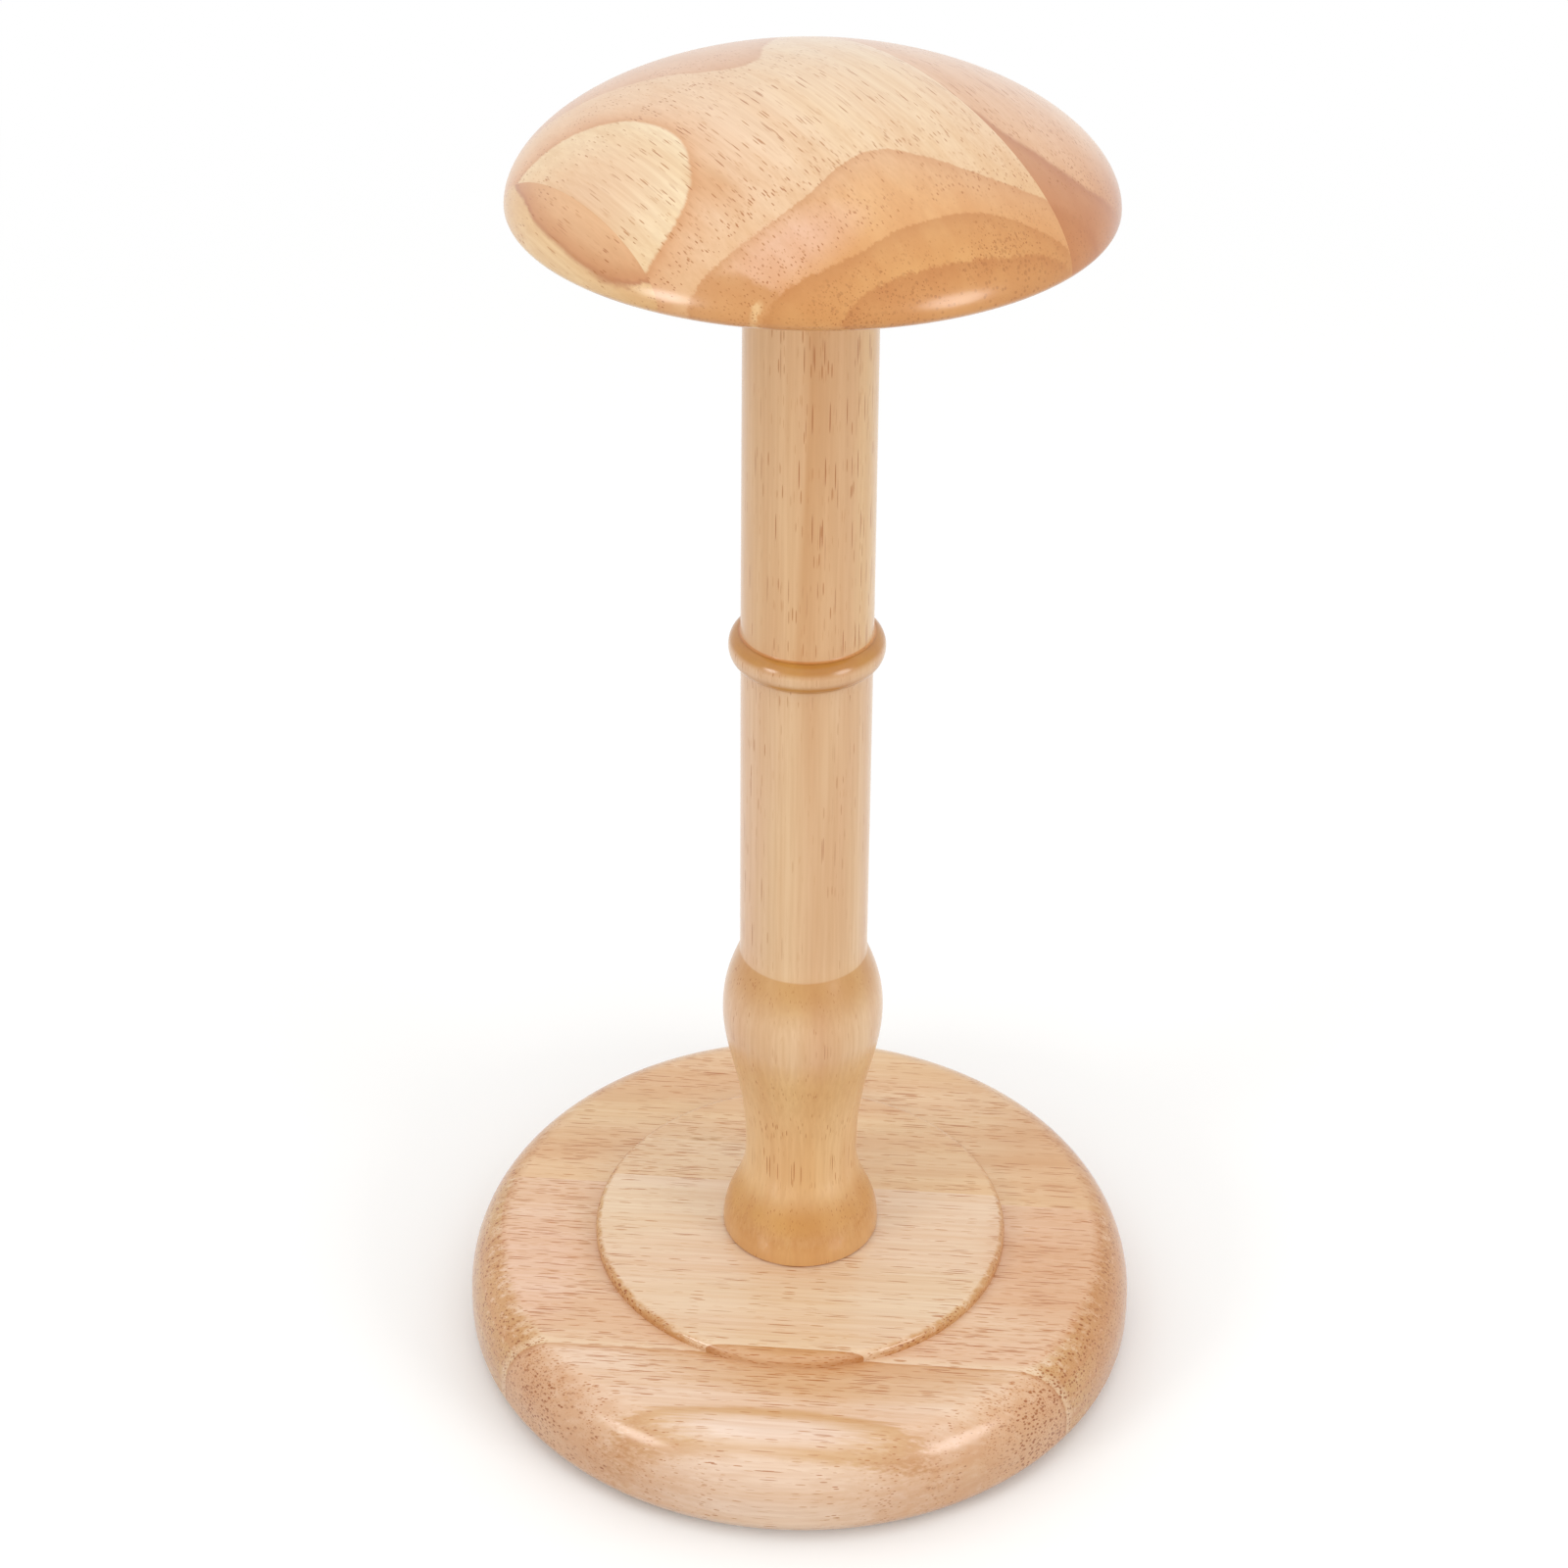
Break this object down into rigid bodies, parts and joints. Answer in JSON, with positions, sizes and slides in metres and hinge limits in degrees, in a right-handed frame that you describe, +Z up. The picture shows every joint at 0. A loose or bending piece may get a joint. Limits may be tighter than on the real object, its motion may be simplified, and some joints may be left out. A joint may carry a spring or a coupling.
{
  "type": "wig stand",
  "caption": "Free-standing turned wooden stand with a domed cap on a slim column over a round base, for a wig or hat to rest on; its parts screw together.",
  "frame": {"origin": "under the middle of the base, on the surface the stand rests on", "axes": "+Z up along the column's axis, -Y towards the front of the picture, +X to its right"},
  "size_m": [0.183, 0.183, 0.3601],
  "materials": {
    "cap_wood": "clear varnished rubberwood, semi-gloss",
    "column_wood": "clear varnished rubberwood, semi-gloss",
    "base_wood": "clear varnished rubberwood, semi-gloss",
    "bolt_metal": "zinc plated steel",
    "nut_metal": "yellow passivated zinc alloy"
  },
  "bodies": {
    "base": {"base_front_board": "base_wood", "base_centre_board": "base_wood", "base_rear_board": "base_wood", "base_nut": "nut_metal"},
    "base_bolt": {"base_bolt": "bolt_metal"},
    "lower_column": {"lower_column": "column_wood", "middle_bolt": "bolt_metal"},
    "middle_nut": {"middle_nut": "nut_metal"},
    "upper_column": {"upper_column": "column_wood", "cap_bolt": "bolt_metal"},
    "cap_nut": {"cap_nut": "nut_metal"},
    "cap": {"cap_left_board": "cap_wood", "cap_centre_board": "cap_wood", "cap_right_board": "cap_wood"}
  },
  "joints": [
    {"name": "base_lift", "type": "slide", "parent": "base", "child": "base_bolt", "axis": [0, 0, 1], "range_m": [0, 0.015]},
    {"name": "base_turn", "type": "hinge", "parent": "base_bolt", "child": "lower_column", "pos_m": [0, 0, 0.0312], "axis": [0, 0, 1], "range_deg": [0, 4320]},
    {"name": "middle_lift", "type": "slide", "parent": "lower_column", "child": "middle_nut", "axis": [0, 0, 1], "range_m": [0, 0.015]},
    {"name": "middle_turn", "type": "hinge", "parent": "middle_nut", "child": "upper_column", "pos_m": [0, 0, 0.2187], "axis": [0, 0, 1], "range_deg": [0, 4320]},
    {"name": "cap_lift", "type": "slide", "parent": "upper_column", "child": "cap_nut", "axis": [0, 0, 1], "range_m": [0, 0.015]},
    {"name": "cap_turn", "type": "hinge", "parent": "cap_nut", "child": "cap", "pos_m": [0, 0, 0.3264], "axis": [0, 0, 1], "range_deg": [0, 4320]}
  ],
  "couplings": [
    {"joint": "base_lift", "follows": "base_turn", "m_per_rad": 0.00019894},
    {"joint": "middle_lift", "follows": "middle_turn", "m_per_rad": 0.00019894},
    {"joint": "cap_lift", "follows": "cap_turn", "m_per_rad": 0.00019894}
  ]
}
